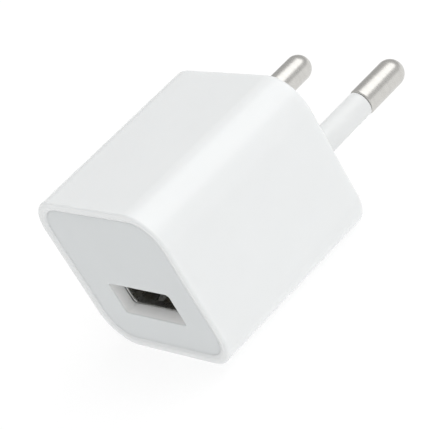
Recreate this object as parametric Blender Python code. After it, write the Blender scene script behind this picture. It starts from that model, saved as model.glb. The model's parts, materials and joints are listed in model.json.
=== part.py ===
"""USB wall charger with two round mains pins, modelled as an assembly of separate parts.

Metres, +Z up. The origin is the centre of the rear face, midway between the pins.
+Y points into the wall socket, the USB port faces -Y, and the pins are spaced along X.
"""

import math

import bmesh
import bpy
from mathutils import Vector

MM = 0.001

# Case: a deep cup that is open at the USB end and closed at the pin end.
CASE_WIDTH = 27.2 * MM
CASE_HEIGHT = 25.3 * MM
CASE_LENGTH = 28.7 * MM
CASE_CORNER = 5.5 * MM
CASE_WALL = 1.9 * MM
REAR_WALL = 2.2 * MM
FRONT_FILLET = 0.3 * MM
REAR_FILLET = 0.5 * MM
RIM_WIDTH = 1.5 * MM
RIM_CHAMFER = 0.15 * MM

# Front panel: a plate inside the rim, with a skirt that is welded into the cavity.
PANEL_RECESS = 0.25 * MM
PANEL_BACK = -CASE_LENGTH + 1.95 * MM
PANEL_SEAT = -CASE_LENGTH + 2.0 * MM
SKIRT_THICKNESS = 0.75 * MM
SKIRT_END = -CASE_LENGTH + 3.8 * MM
WINDOW_CORNER = 0.5 * MM
WINDOW_WIDTH = 13.2 * MM
WINDOW_TOP = -1.25 * MM
WINDOW_BOTTOM = -6.5 * MM
THROAT_WIDTH = 12.6 * MM
THROAT_TOP = -1.15 * MM
THROAT_BOTTOM = -6.1 * MM

# Mains pins: 4 mm round pins, 18.5 mm long and 19 mm apart, with 10 mm insulating sleeves.
PIN_SPACING = 19.0 * MM
PIN_LENGTH = 18.5 * MM
PIN_RADIUS = 2.0 * MM
PIN_TIP_FLAT = 0.25 * MM
PIN_CORE_RADIUS = 1.5 * MM
PIN_HEAD_RADIUS = 2.0 * MM
PIN_HEAD_THICKNESS = 0.75 * MM
PIN_INNER_END = -4.2 * MM
SLEEVE_RADIUS = 1.9 * MM
SLEEVE_LENGTH = 10.0 * MM
SLEEVE_ROOT = -1.1 * MM

# USB type A socket: the centre of its mouth is below the middle of the case.
USB_Z = -3.6 * MM
USB_FRONT = -CASE_LENGTH + 2.1 * MM
USB_BACK = -13.0 * MM
USB_MOUTH_WIDTH = 12.5 * MM
USB_MOUTH_HEIGHT = 5.12 * MM
MOUTH_CORNER = 0.5 * MM
SHIELD_SHEET = 0.3 * MM
LEG_FRONT = -19.6 * MM
LEG_BACK = -17.8 * MM
LEG_SHEET = 0.24 * MM
LEG_HOLE_HALF_WIDTH = 0.4 * MM
LEG_HOLE_CLEARANCE = 0.25 * MM
TAIL_DROP = 1.2 * MM
TONGUE_WIDTH = 11.1 * MM
TONGUE_THICKNESS = 1.84 * MM
TONGUE_FRONT = -24.5 * MM
TONGUE_ROOT = -15.9 * MM
CONTACT_XS = [x * MM for x in (-3.5, -1.0, 1.0, 3.5)]
CONTACT_WIDTH = 1.0 * MM
CONTACT_SHEET = 0.25 * MM
CONTACT_Z = USB_Z + 0.65 * MM
CONTACT_PIVOT_Y = -16.0 * MM
CONTACT_BUMP_DROP = 0.6 * MM
CONTACT_SHAPE = ((2.5, 0.4), (4.9, 0.94), (5.5, 1.0), (6.1, 0.94), (7.5, 0.45))
GROOVE_FRONT = TONGUE_FRONT + 0.5 * MM
GROOVE_DEPTH = 1.25 * MM
GROOVE_CLEARANCE = 0.15 * MM
SLOT_CLEARANCE = 0.12 * MM
SLOT_HALF_HEIGHT = 0.4 * MM
TERMINAL_ROOT = CONTACT_PIVOT_Y + 0.15 * MM
TERMINAL_TAIL_Y = USB_BACK + 0.25 * MM
TERMINAL_BEND = 0.3 * MM

# Mains leaves: folded strips on the mains board, each pressed by the inner end of a pin.
LEAF_WIDTH = 2.4 * MM
LEAF_SHEET = 0.25 * MM
LEAF_FOOT_Z = -2.4 * MM
LEAF_FOLD_Z = 2.2 * MM
LEAF_TIP_Z = -0.8 * MM
LEAF_FOOT_GAP = 0.2 * MM
LEAF_PIN_GAP = 0.25 * MM

# Boards: an upright mains board near the pins and a level board that carries the socket.
BOARD_THICKNESS = 1.2 * MM
MAIN_BOARD_BACK = -5.4 * MM
MAIN_BOARD_FRONT = MAIN_BOARD_BACK - BOARD_THICKNESS
MAIN_BOARD_INSET = CASE_WALL + 0.6 * MM
USB_BOARD_TOP = -6.6 * MM
USB_BOARD_BOTTOM = USB_BOARD_TOP - BOARD_THICKNESS
USB_BOARD_WIDTH = 22.4 * MM
USB_BOARD_FRONT = -24.3 * MM
USB_BOARD_BACK = MAIN_BOARD_FRONT - 0.3 * MM
TENON_X = 5.5 * MM
TENON_WIDTH = 3.0 * MM
TENON_PROUD = 0.2 * MM
BOARD_HOLE_CLEARANCE = 0.15 * MM
CUTTER_OVERRUN = 1.0 * MM

# Insulating film: a channel folded over the socket's shell.
FILM_THICKNESS = 0.25 * MM
FILM_HALF_WIDTH = 7.0 * MM
FILM_TOP = -0.5 * MM
FILM_BOTTOM = -6.0 * MM
FILM_BACK = USB_BACK - 0.4 * MM

# Transformer: two E cores that meet around the middle of an upright bobbin.
CORE_CENTRE = Vector((-4.6 * MM, -12.6 * MM, 4.7 * MM))
CORE_WIDTH = 11.0 * MM
CORE_HEIGHT = 10.0 * MM
CORE_DEPTH = 4.6 * MM
CORE_LEG = 1.6 * MM
CORE_GAP = 0.05 * MM
BOBBIN_REACH = 3.25 * MM
BOBBIN_WALL = 0.4 * MM
FLANGE_THICKNESS = 0.5 * MM
FLANGE_HALF_WIDTH = 3.75 * MM
FLANGE_FRONT = -4.8 * MM
WINDING_OUTER = (6.9 * MM, 8.7 * MM, 1.6 * MM)
WINDING_INNER = (4.4 * MM, 5.8 * MM, 0.3 * MM)
TAPE_OUTER = (7.5 * MM, 9.3 * MM, 1.9 * MM)
TAPE_INNER = (7.1 * MM, 8.9 * MM, 1.7 * MM)

# Capacitors.
INPUT_CAN_RADIUS = 4.0 * MM
INPUT_CAN_LENGTH = 12.5 * MM
INPUT_CAN_WALL = 0.3 * MM
INPUT_CAN_X = 6.2 * MM
INPUT_CAN_Z = 5.2 * MM
INPUT_CRIMP_PLACE = 2.2 * MM
INPUT_CRIMP_REACH = 0.4 * MM
CRIMP_DEPTH = 0.35 * MM
BUNG_LENGTH = 1.4 * MM
OUTPUT_CAN_RADIUS = 2.5 * MM
OUTPUT_CAN_HEIGHT = 5.6 * MM
OUTPUT_CAN_XS = (-2.9 * MM, 2.9 * MM)
OUTPUT_CAN_Y = -9.6 * MM
OUTPUT_CRIMP_PLACE = 1.2 * MM
OUTPUT_CRIMP_REACH = 0.3 * MM
OUTPUT_CRIMP_DEPTH = 0.2 * MM
Y_CAPACITOR_RADIUS = 3.2 * MM
Y_CAPACITOR_THICKNESS = 2.4 * MM
Y_CAPACITOR_Z = 5.6 * MM

# Fuse resistor and choke: both lie along Y, with one end at the mains board.
FUSE_X = -9.2 * MM
FUSE_Z = -3.6 * MM
FUSE_CAP_RADIUS = 1.3 * MM
FUSE_BODY_RADIUS = 1.1 * MM
FUSE_LEAD_RADIUS = 0.3 * MM
FUSE_LEAD_LENGTH = 0.6 * MM
FUSE_CAP_LENGTH = 1.2 * MM
FUSE_LENGTH = 8.0 * MM
CHOKE_X = 9.0 * MM
CHOKE_Z = -3.2 * MM
CHOKE_FLANGE_RADIUS = 2.4 * MM
CHOKE_FLANGE_THICKNESS = 0.9 * MM
CHOKE_CORE_RADIUS = 1.0 * MM
CHOKE_WINDING_RADIUS = 2.1 * MM
CHOKE_LENGTH = 6.2 * MM

# Packages on the boards: width along X, length along the board, and height off it.
RECTIFIER_SIZE = (4.7 * MM, 3.9 * MM, 1.5 * MM)
CONTROLLER_SIZE = (4.9 * MM, 3.9 * MM, 1.4 * MM)
DIODE_SIZE = (3.6 * MM, 4.4 * MM, 2.1 * MM)
CHIP_RESISTOR_SIZE = (1.6 * MM, 3.2 * MM, 0.6 * MM)
CHIP_CAPACITOR_SIZE = (1.6 * MM, 3.2 * MM, 1.0 * MM)

FIT_GAP = 0.1 * MM
REST_GAP = 0.1 * MM
CORNER_SEGMENTS = 7
ROUND_SEGMENTS = 24
NOSE_SEGMENTS = 5
FILLET_SEGMENTS = 3
SMOOTH_ANGLE = math.radians(35)


def clear_scene():
    for obj in list(bpy.data.objects):
        bpy.data.objects.remove(obj, do_unlink=True)


def make_material(name, colour, roughness, metallic=0.0):
    material = bpy.data.materials.new(name)
    material.use_nodes = True
    shader = material.node_tree.nodes["Principled BSDF"]
    shader.inputs["Base Color"].default_value = (*colour, 1.0)
    shader.inputs["Roughness"].default_value = roughness
    shader.inputs["Metallic"].default_value = metallic
    return material


def rounded_outline(width, height, radius):
    """Anticlockwise (u, v) points of a rounded rectangle about the origin."""
    points = []
    for quarter, (side_u, side_v) in enumerate(((1, 1), (-1, 1), (-1, -1), (1, -1))):
        centre_u = side_u * (width / 2 - radius)
        centre_v = side_v * (height / 2 - radius)
        for step in range(CORNER_SEGMENTS + 1):
            angle = math.pi / 2 * (quarter + step / CORNER_SEGMENTS)
            u = centre_u + radius * math.cos(angle)
            v = centre_v + radius * math.sin(angle)
            points.append((u, v))
    return points


def rectangle(u_low, u_high, v_low, v_high):
    return [(u_low, v_low), (u_high, v_low), (u_high, v_high), (u_low, v_high)]


def circle(radius, segments=ROUND_SEGMENTS):
    angles = [2 * math.pi * step / segments for step in range(segments)]
    return [(radius * math.cos(angle), radius * math.sin(angle)) for angle in angles]


def case_section(inset):
    """The case's rounded square, moved inwards by inset on every side."""
    return rounded_outline(CASE_WIDTH - 2 * inset, CASE_HEIGHT - 2 * inset, CASE_CORNER - inset)


def along(axis, place, u, v):
    """The point at place on an axis, with u and v on the other two in XYZ order."""
    order = {"X": (place, u, v), "Y": (u, place, v), "Z": (u, v, place)}
    return Vector(order[axis])


def add_ring(bm, axis, place, outline):
    return [bm.verts.new(along(axis, place, u, v)) for u, v in outline]


def join_rings(bm, first, second):
    count = len(first)
    for index in range(count):
        following = (index + 1) % count
        bm.faces.new((first[index], first[following], second[following], second[index]))


def object_from(bm, name, material, location=(0, 0, 0)):
    """Finishes a bmesh as a named object with outward faces and its own material."""
    bmesh.ops.recalc_face_normals(bm, faces=bm.faces)
    mesh = bpy.data.meshes.new(name)
    bm.to_mesh(mesh)
    bm.free()
    mesh.shade_smooth()
    mesh.set_sharp_from_angle(angle=SMOOTH_ANGLE)
    obj = bpy.data.objects.new(name, mesh)
    obj.location = location
    if material is not None:
        mesh.materials.append(material)
    bpy.context.scene.collection.objects.link(obj)
    return obj


def loft(name, material, axis, sections, location=(0, 0, 0), hollow=False):
    """A solid through (place, outline) sections. A hollow one joins its last ring to its first."""
    bm = bmesh.new()
    rings = [add_ring(bm, axis, place, outline) for place, outline in sections]
    for first, second in zip(rings, rings[1:]):
        join_rings(bm, first, second)
    if hollow:
        join_rings(bm, rings[-1], rings[0])
    else:
        bm.faces.new(rings[0])
        bm.faces.new(rings[-1])
    return object_from(bm, name, material, location)


def turned(name, material, axis, profile, location=(0, 0, 0), hollow=False):
    """A round solid through (place, radius) points along an axis."""
    sections = [(place, circle(radius)) for place, radius in profile]
    return loft(name, material, axis, sections, location, hollow)


def prism(name, material, axis, outline, start, end, location=(0, 0, 0)):
    return loft(name, material, axis, [(start, outline), (end, outline)], location)


def block(name, material, low, high):
    outline = rectangle(low[0], high[0], low[1], high[1])
    return prism(name, material, "Z", outline, low[2], high[2])


def blocks(name, boxes):
    """Several separate boxes in one mesh, for use as a cutter."""
    bm = bmesh.new()
    for low, high in boxes:
        outline = rectangle(low[0], high[0], low[1], high[1])
        bottom = add_ring(bm, "Z", low[2], outline)
        top = add_ring(bm, "Z", high[2], outline)
        join_rings(bm, bottom, top)
        bm.faces.new(bottom)
        bm.faces.new(top)
    return object_from(bm, name, None)


def ribbon(path, thickness):
    """The outline of a bent strip: the path's points moved half a thickness to each side."""
    left = []
    right = []
    for index, point in enumerate(path):
        here = Vector(point)
        before = here - Vector(path[max(index - 1, 0)])
        after = Vector(path[min(index + 1, len(path) - 1)]) - here
        before = (before if before.length else after).normalized()
        after = (after if after.length else before).normalized()
        normal = (before + after).orthogonal().normalized()
        reach = thickness / 2 / normal.dot(after.orthogonal())
        left.append(here + normal * reach)
        right.append(here - normal * reach)
    return [tuple(point) for point in left + right[::-1]]


def arc(centre, radius, start_degrees, end_degrees, steps):
    """Points on a circular arc, for a smooth bend in a path."""
    points = []
    for step in range(steps + 1):
        angle = math.radians(start_degrees + (end_degrees - start_degrees) * step / steps)
        points.append((centre[0] + radius * math.cos(angle), centre[1] + radius * math.sin(angle)))
    return points


def add_boolean(target, helper, operation):
    helper.hide_render = True
    helper.display_type = "WIRE"
    modifier = target.modifiers.new(helper.name, "BOOLEAN")
    modifier.operation = operation
    modifier.solver = "EXACT"
    modifier.object = helper


def make_case(material):
    """The moulded cup: outer skin from the rear face to the rim, then the seat and the cavity."""
    quarter = math.pi / 2
    quarter_steps = [quarter * step / FILLET_SEGMENTS for step in range(FILLET_SEGMENTS + 1)]
    sections = []
    for angle in quarter_steps:
        place = -REAR_FILLET + REAR_FILLET * math.cos(angle)
        sections.append((place, case_section(REAR_FILLET * (1 - math.sin(angle)))))
    for angle in quarter_steps:
        place = -CASE_LENGTH + FRONT_FILLET * (1 - math.sin(angle))
        sections.append((place, case_section(FRONT_FILLET * (1 - math.cos(angle)))))
    sections.append((-CASE_LENGTH, case_section(RIM_WIDTH - RIM_CHAMFER)))
    sections.append((-CASE_LENGTH + RIM_CHAMFER, case_section(RIM_WIDTH)))
    sections.append((PANEL_SEAT, case_section(RIM_WIDTH)))
    sections.append((PANEL_SEAT, case_section(CASE_WALL)))
    sections.append((-REAR_WALL, case_section(CASE_WALL)))
    case = loft("case_shell", material, "Y", sections)
    for side, label in ((-1, "left"), (1, "right")):
        profile = [
            (-2 * REAR_WALL, PIN_CORE_RADIUS + FIT_GAP),
            (SLEEVE_ROOT - FIT_GAP, PIN_CORE_RADIUS + FIT_GAP),
            (SLEEVE_ROOT - FIT_GAP, SLEEVE_RADIUS + FIT_GAP),
            (REAR_WALL, SLEEVE_RADIUS + FIT_GAP),
        ]
        place = (side * PIN_SPACING / 2, 0, 0)
        cutter = turned("pin_hole_cutter_" + label, None, "Y", profile, place)
        add_boolean(case, cutter, "DIFFERENCE")
    return case


def window_outline(width, bottom, top):
    """The USB window's outline at one depth, between two heights in the case."""
    middle = (bottom + top) / 2
    return [(u, v + middle) for u, v in rounded_outline(width, top - bottom, WINDOW_CORNER)]


def make_front_panel(material):
    """The panel, its skirt, and the USB window, which narrows towards the socket."""
    face = -CASE_LENGTH + PANEL_RECESS
    edge = RIM_WIDTH + FIT_GAP
    skirt_outer = CASE_WALL + FIT_GAP
    skirt_inner = skirt_outer + SKIRT_THICKNESS
    sections = [
        (face, case_section(edge + RIM_CHAMFER)),
        (face + RIM_CHAMFER, case_section(edge)),
        (PANEL_BACK, case_section(edge)),
        (PANEL_BACK, case_section(skirt_outer)),
        (SKIRT_END, case_section(skirt_outer)),
        (SKIRT_END, case_section(skirt_inner)),
        (PANEL_BACK, case_section(skirt_inner)),
    ]
    panel = loft("front_panel", material, "Y", sections)
    window = window_outline(WINDOW_WIDTH, WINDOW_BOTTOM, WINDOW_TOP)
    throat = window_outline(THROAT_WIDTH, THROAT_BOTTOM, THROAT_TOP)
    sections = [
        (-CASE_LENGTH - CUTTER_OVERRUN, window),
        (face, window),
        (PANEL_BACK, throat),
        (SKIRT_END + CUTTER_OVERRUN, throat),
    ]
    add_boolean(panel, loft("usb_window_cutter", None, "Y", sections), "DIFFERENCE")
    return panel


def make_pin(side, label, metal, plastic):
    """A pin with its moulded-in head and core, and the insulating sleeve round its root."""
    head_back = -REAR_WALL - FIT_GAP
    head_front = head_back - PIN_HEAD_THICKNESS
    profile = [
        (PIN_INNER_END, PIN_CORE_RADIUS),
        (head_front, PIN_CORE_RADIUS),
        (head_front, PIN_HEAD_RADIUS),
        (head_back, PIN_HEAD_RADIUS),
        (head_back, PIN_CORE_RADIUS),
        (SLEEVE_LENGTH, PIN_CORE_RADIUS),
        (SLEEVE_LENGTH, PIN_RADIUS),
    ]
    nose = PIN_LENGTH - PIN_RADIUS
    for step in range(NOSE_SEGMENTS):
        angle = math.pi / 2 * step / NOSE_SEGMENTS
        profile.append((nose + PIN_RADIUS * math.sin(angle), PIN_RADIUS * math.cos(angle)))
    profile.append((PIN_LENGTH, PIN_TIP_FLAT))
    place = (side * PIN_SPACING / 2, 0, 0)
    pin = turned("pin_" + label, metal, "Y", profile, place)
    sleeve_profile = [
        (SLEEVE_ROOT, SLEEVE_RADIUS),
        (SLEEVE_LENGTH - FIT_GAP, SLEEVE_RADIUS),
        (SLEEVE_LENGTH - FIT_GAP, PIN_CORE_RADIUS + FIT_GAP),
        (SLEEVE_ROOT, PIN_CORE_RADIUS + FIT_GAP),
    ]
    sleeve = turned("pin_sleeve_" + label, plastic, "Y", sleeve_profile, place, hollow=True)
    return [pin, sleeve]


def make_pin_contact(side, label, material):
    """A folded leaf on the mains board that presses on the inner end of a pin."""
    foot_y = MAIN_BOARD_BACK + LEAF_FOOT_GAP
    leaf_y = PIN_INNER_END - LEAF_PIN_GAP
    bend = (leaf_y - foot_y) / 2
    fold = arc((foot_y + bend, LEAF_FOLD_Z), bend, 180, 0, 6)
    path = [(foot_y, LEAF_FOOT_Z), *fold, (leaf_y, LEAF_TIP_Z)]
    outline = ribbon(path, LEAF_SHEET)
    place = (side * PIN_SPACING / 2, 0, 0)
    name = "pin_contact_" + label
    return prism(name, material, "X", outline, -LEAF_WIDTH / 2, LEAF_WIDTH / 2, place)


def make_main_board(material):
    width = CASE_WIDTH - 2 * MAIN_BOARD_INSET
    height = CASE_HEIGHT - 2 * MAIN_BOARD_INSET
    outline = rounded_outline(width, height, CASE_CORNER - MAIN_BOARD_INSET)
    board = prism("main_board", material, "Y", outline, MAIN_BOARD_FRONT, MAIN_BOARD_BACK)
    slots = []
    for side in (-1, 1):
        centre = side * TENON_X
        reach = TENON_WIDTH / 2 + BOARD_HOLE_CLEARANCE
        low = (centre - reach, MAIN_BOARD_FRONT - CUTTER_OVERRUN, USB_BOARD_BOTTOM - FIT_GAP)
        high = (centre + reach, MAIN_BOARD_BACK + CUTTER_OVERRUN, USB_BOARD_TOP + FIT_GAP)
        slots.append((low, high))
    add_boolean(board, blocks("tenon_slot_cutter", slots), "DIFFERENCE")
    return board


def make_usb_board(material):
    """The level board, with two tenons that pass through the upright mains board."""
    half = USB_BOARD_WIDTH / 2
    tenon_end = MAIN_BOARD_BACK + TENON_PROUD
    outline = [(-half, USB_BOARD_FRONT), (half, USB_BOARD_FRONT), (half, USB_BOARD_BACK)]
    for centre in (TENON_X, -TENON_X):
        outline.append((centre + TENON_WIDTH / 2, USB_BOARD_BACK))
        outline.append((centre + TENON_WIDTH / 2, tenon_end))
        outline.append((centre - TENON_WIDTH / 2, tenon_end))
        outline.append((centre - TENON_WIDTH / 2, USB_BOARD_BACK))
    outline.append((-half, USB_BOARD_BACK))
    board = prism("usb_board", material, "Z", outline, USB_BOARD_BOTTOM, USB_BOARD_TOP)
    low_z = USB_BOARD_BOTTOM - CUTTER_OVERRUN
    high_z = USB_BOARD_TOP + CUTTER_OVERRUN
    tail_reach = CONTACT_SHEET + BOARD_HOLE_CLEARANCE
    holes = []
    for x in CONTACT_XS:
        reach = CONTACT_WIDTH / 2 + BOARD_HOLE_CLEARANCE
        low = (x - reach, TERMINAL_TAIL_Y - tail_reach, low_z)
        high = (x + reach, TERMINAL_TAIL_Y + tail_reach, high_z)
        holes.append((low, high))
    for side in (-1, 1):
        x = side * shield_leg_x()
        low = (x - LEG_HOLE_HALF_WIDTH, LEG_FRONT - LEG_HOLE_CLEARANCE, low_z)
        high = (x + LEG_HOLE_HALF_WIDTH, LEG_BACK + LEG_HOLE_CLEARANCE, high_z)
        holes.append((low, high))
    add_boolean(board, blocks("usb_board_hole_cutter", holes), "DIFFERENCE")
    return board


def shield_leg_x():
    return USB_MOUTH_WIDTH / 2 + SHIELD_SHEET / 2


def make_shield(material):
    """The socket's folded metal shell, with a solder leg on each side."""
    mouth = rounded_outline(USB_MOUTH_WIDTH, USB_MOUTH_HEIGHT, MOUTH_CORNER)
    outer_width = USB_MOUTH_WIDTH + 2 * SHIELD_SHEET
    outer_height = USB_MOUTH_HEIGHT + 2 * SHIELD_SHEET
    outer = rounded_outline(outer_width, outer_height, MOUTH_CORNER + SHIELD_SHEET)
    sections = [(USB_FRONT, outer), (USB_BACK, outer), (USB_BACK, mouth), (USB_FRONT, mouth)]
    shield = loft("usb_shield", material, "Y", sections, (0, 0, USB_Z), hollow=True)
    for side, label in ((-1, "left"), (1, "right")):
        x = side * shield_leg_x()
        low = (x - LEG_SHEET / 2, LEG_FRONT, USB_BOARD_BOTTOM - TAIL_DROP)
        high = (x + LEG_SHEET / 2, LEG_BACK, USB_Z)
        leg = block("shield_leg_" + label, None, low, high)
        add_boolean(shield, leg, "UNION")
    return shield


def make_usb_insulator(material):
    """The socket's moulded base and tongue, grooved for the four contacts."""
    width = USB_MOUTH_WIDTH - 2 * FIT_GAP
    height = USB_MOUTH_HEIGHT - 2 * FIT_GAP
    base = rounded_outline(width, height, MOUTH_CORNER)
    base_back = USB_BACK - FIT_GAP
    place = (0, 0, USB_Z)
    insulator = prism("usb_insulator", material, "Y", base, TONGUE_ROOT, base_back, place)
    low = (-TONGUE_WIDTH / 2, TONGUE_FRONT, USB_Z)
    high = (TONGUE_WIDTH / 2, TONGUE_ROOT + CUTTER_OVERRUN, USB_Z + TONGUE_THICKNESS)
    add_boolean(insulator, block("tongue", None, low, high), "UNION")
    grooves = []
    slots = []
    for x in CONTACT_XS:
        reach = CONTACT_WIDTH / 2 + GROOVE_CLEARANCE
        low = (x - reach, GROOVE_FRONT, USB_Z - CUTTER_OVERRUN)
        high = (x + reach, TONGUE_ROOT + SLOT_CLEARANCE, USB_Z + GROOVE_DEPTH)
        grooves.append((low, high))
        reach = CONTACT_WIDTH / 2 + SLOT_CLEARANCE
        low = (x - reach, TONGUE_ROOT - 2 * SLOT_CLEARANCE, CONTACT_Z - SLOT_HALF_HEIGHT)
        high = (x + reach, USB_BACK + CUTTER_OVERRUN, CONTACT_Z + SLOT_HALF_HEIGHT)
        slots.append((low, high))
    add_boolean(insulator, blocks("contact_groove_cutter", grooves), "DIFFERENCE")
    add_boolean(insulator, blocks("terminal_slot_cutter", slots), "DIFFERENCE")
    return insulator


def make_usb_contact(number, x, material):
    """The sprung end of a contact. Its origin is on the line where it flexes."""
    bump_z = CONTACT_SHEET / 2 - CONTACT_BUMP_DROP - (CONTACT_Z - USB_Z)
    path = [(0, 0)]
    path += [(-reach * MM, bump_z * share) for reach, share in CONTACT_SHAPE]
    outline = ribbon(path, CONTACT_SHEET)
    name = f"usb_contact_{number}"
    place = (x, CONTACT_PIVOT_Y, CONTACT_Z)
    half_width = CONTACT_WIDTH / 2
    return prism(name, material, "X", outline, -half_width, half_width, place)


def make_usb_terminal(number, x, material):
    """The fixed end of a contact: through the base, then down through the board."""
    corner_centre = (TERMINAL_TAIL_Y - TERMINAL_BEND, CONTACT_Z - TERMINAL_BEND)
    corner = arc(corner_centre, TERMINAL_BEND, 90, 0, 3)
    tail_end = USB_BOARD_BOTTOM - TAIL_DROP
    path = [(TERMINAL_ROOT, CONTACT_Z), *corner, (TERMINAL_TAIL_Y, tail_end)]
    outline = ribbon(path, CONTACT_SHEET)
    name = f"usb_terminal_{number}"
    half_width = CONTACT_WIDTH / 2
    return prism(name, material, "X", outline, -half_width, half_width, (x, 0, 0))


def make_insulating_sheet(material):
    """A folded film that keeps the mains side clear of the socket's shell."""
    left = -FILM_HALF_WIDTH
    right = FILM_HALF_WIDTH
    path = [(left, FILM_BOTTOM), (left, FILM_TOP), (right, FILM_TOP), (right, FILM_BOTTOM)]
    outline = ribbon(path, FILM_THICKNESS)
    return prism("insulating_sheet", material, "Y", outline, USB_BOARD_FRONT, FILM_BACK)


def make_core(name, direction, material):
    """One E core. Its legs point at the other core, along Z."""
    half = CORE_WIDTH / 2
    tip = CORE_GAP * direction
    back = CORE_HEIGHT / 2 * direction
    root = back - CORE_LEG * direction
    outline = [
        (-half, back),
        (-half, tip),
        (-half + CORE_LEG, tip),
        (-half + CORE_LEG, root),
        (-CORE_LEG, root),
        (-CORE_LEG, tip),
        (CORE_LEG, tip),
        (CORE_LEG, root),
        (half - CORE_LEG, root),
        (half - CORE_LEG, tip),
        (half, tip),
        (half, back),
    ]
    return prism(name, material, "Y", outline, -CORE_DEPTH / 2, CORE_DEPTH / 2, CORE_CENTRE)


def make_bobbin(material):
    hole_x = CORE_LEG + FIT_GAP
    hole_y = CORE_DEPTH / 2 + FIT_GAP
    tube_x = hole_x + BOBBIN_WALL
    tube_y = hole_y + BOBBIN_WALL
    flange_back = MAIN_BOARD_FRONT - CORE_CENTRE.y - REST_GAP
    flange = rectangle(-FLANGE_HALF_WIDTH, FLANGE_HALF_WIDTH, FLANGE_FRONT, flange_back)
    tube = rectangle(-tube_x, tube_x, -tube_y, tube_y)
    hole = rectangle(-hole_x, hole_x, -hole_y, hole_y)
    inner = BOBBIN_REACH - FLANGE_THICKNESS
    sections = [
        (-BOBBIN_REACH, flange),
        (-inner, flange),
        (-inner, tube),
        (inner, tube),
        (inner, flange),
        (BOBBIN_REACH, flange),
        (BOBBIN_REACH, hole),
        (-BOBBIN_REACH, hole),
    ]
    return loft("transformer_bobbin", material, "Z", sections, CORE_CENTRE, hollow=True)


def make_coil_ring(name, material, outer, inner, reach):
    """A rounded rectangular ring round the bobbin. outer and inner are (width, depth, corner)."""
    outer_line = rounded_outline(*outer)
    inner_line = rounded_outline(*inner)
    sections = [(-reach, outer_line), (reach, outer_line), (reach, inner_line), (-reach, inner_line)]
    return loft(name, material, "Z", sections, CORE_CENTRE, hollow=True)


def make_transformer(ferrite, moulding, copper, film):
    reach = BOBBIN_REACH - FLANGE_THICKNESS - FIT_GAP
    return [
        make_core("transformer_core_top", 1, ferrite),
        make_core("transformer_core_bottom", -1, ferrite),
        make_bobbin(moulding),
        make_coil_ring("transformer_winding", copper, WINDING_OUTER, WINDING_INNER, reach),
        make_coil_ring("transformer_tape", film, TAPE_OUTER, TAPE_INNER, reach),
    ]


def make_input_capacitor(can_material, rubber):
    """A lying electrolytic: a crimped can, and the rubber bung in its open end."""
    radius = INPUT_CAN_RADIUS
    inner = radius - INPUT_CAN_WALL
    place = (INPUT_CAN_X, MAIN_BOARD_FRONT - REST_GAP, INPUT_CAN_Z)
    crimp_front = -INPUT_CRIMP_PLACE - INPUT_CRIMP_REACH
    crimp_back = -INPUT_CRIMP_PLACE + INPUT_CRIMP_REACH
    profile = [
        (-INPUT_CAN_LENGTH, radius - INPUT_CAN_WALL),
        (-INPUT_CAN_LENGTH + INPUT_CAN_WALL, radius),
        (crimp_front, radius),
        (-INPUT_CRIMP_PLACE, radius - CRIMP_DEPTH),
        (crimp_back, radius),
        (0, radius),
        (0, inner),
        (crimp_back + FIT_GAP, inner),
        (-INPUT_CRIMP_PLACE, inner - CRIMP_DEPTH),
        (crimp_front - FIT_GAP, inner),
        (-INPUT_CAN_LENGTH + INPUT_CAN_WALL, inner),
    ]
    can = turned("input_capacitor_can", can_material, "Y", profile, place)
    bung_radius = inner - FIT_GAP
    bung_profile = [(-FIT_GAP - BUNG_LENGTH, bung_radius), (-FIT_GAP, bung_radius)]
    bung = turned("input_capacitor_bung", rubber, "Y", bung_profile, place)
    return [can, bung]


def make_output_capacitor(number, x, material):
    radius = OUTPUT_CAN_RADIUS
    place = (x, OUTPUT_CAN_Y, USB_BOARD_TOP + REST_GAP)
    profile = [
        (0, radius),
        (OUTPUT_CRIMP_PLACE - OUTPUT_CRIMP_REACH, radius),
        (OUTPUT_CRIMP_PLACE, radius - OUTPUT_CRIMP_DEPTH),
        (OUTPUT_CRIMP_PLACE + OUTPUT_CRIMP_REACH, radius),
        (OUTPUT_CAN_HEIGHT - OUTPUT_CRIMP_REACH, radius),
        (OUTPUT_CAN_HEIGHT, radius - OUTPUT_CRIMP_REACH),
    ]
    return turned(f"output_capacitor_{number}", material, "Z", profile, place)


def make_y_capacitor(material):
    """A lacquered ceramic disc, flat against the back of the mains board."""
    face_radius = Y_CAPACITOR_RADIUS * 0.7
    bevel = Y_CAPACITOR_THICKNESS / 4
    place = (0, MAIN_BOARD_BACK + REST_GAP, Y_CAPACITOR_Z)
    profile = [
        (0, face_radius),
        (bevel, Y_CAPACITOR_RADIUS),
        (Y_CAPACITOR_THICKNESS - bevel, Y_CAPACITOR_RADIUS),
        (Y_CAPACITOR_THICKNESS, face_radius),
    ]
    return turned("y_capacitor", material, "Y", profile, place)


def make_fuse_resistor(material):
    """A fusible wire-wound resistor, held off the mains board by its lead."""
    near_end = -FUSE_LEAD_LENGTH
    near_cap = near_end - FUSE_CAP_LENGTH
    far_cap = -FUSE_LENGTH + FUSE_CAP_LENGTH
    taper = FUSE_CAP_RADIUS - FUSE_BODY_RADIUS
    place = (FUSE_X, MAIN_BOARD_FRONT - REST_GAP, FUSE_Z)
    profile = [
        (-FUSE_LENGTH - taper, FUSE_BODY_RADIUS),
        (-FUSE_LENGTH, FUSE_CAP_RADIUS),
        (far_cap, FUSE_CAP_RADIUS),
        (far_cap + taper, FUSE_BODY_RADIUS),
        (near_cap - taper, FUSE_BODY_RADIUS),
        (near_cap, FUSE_CAP_RADIUS),
        (near_end - taper, FUSE_CAP_RADIUS),
        (near_end, FUSE_LEAD_RADIUS),
        (0, FUSE_LEAD_RADIUS),
    ]
    return turned("fuse_resistor", material, "Y", profile, place)


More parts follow.
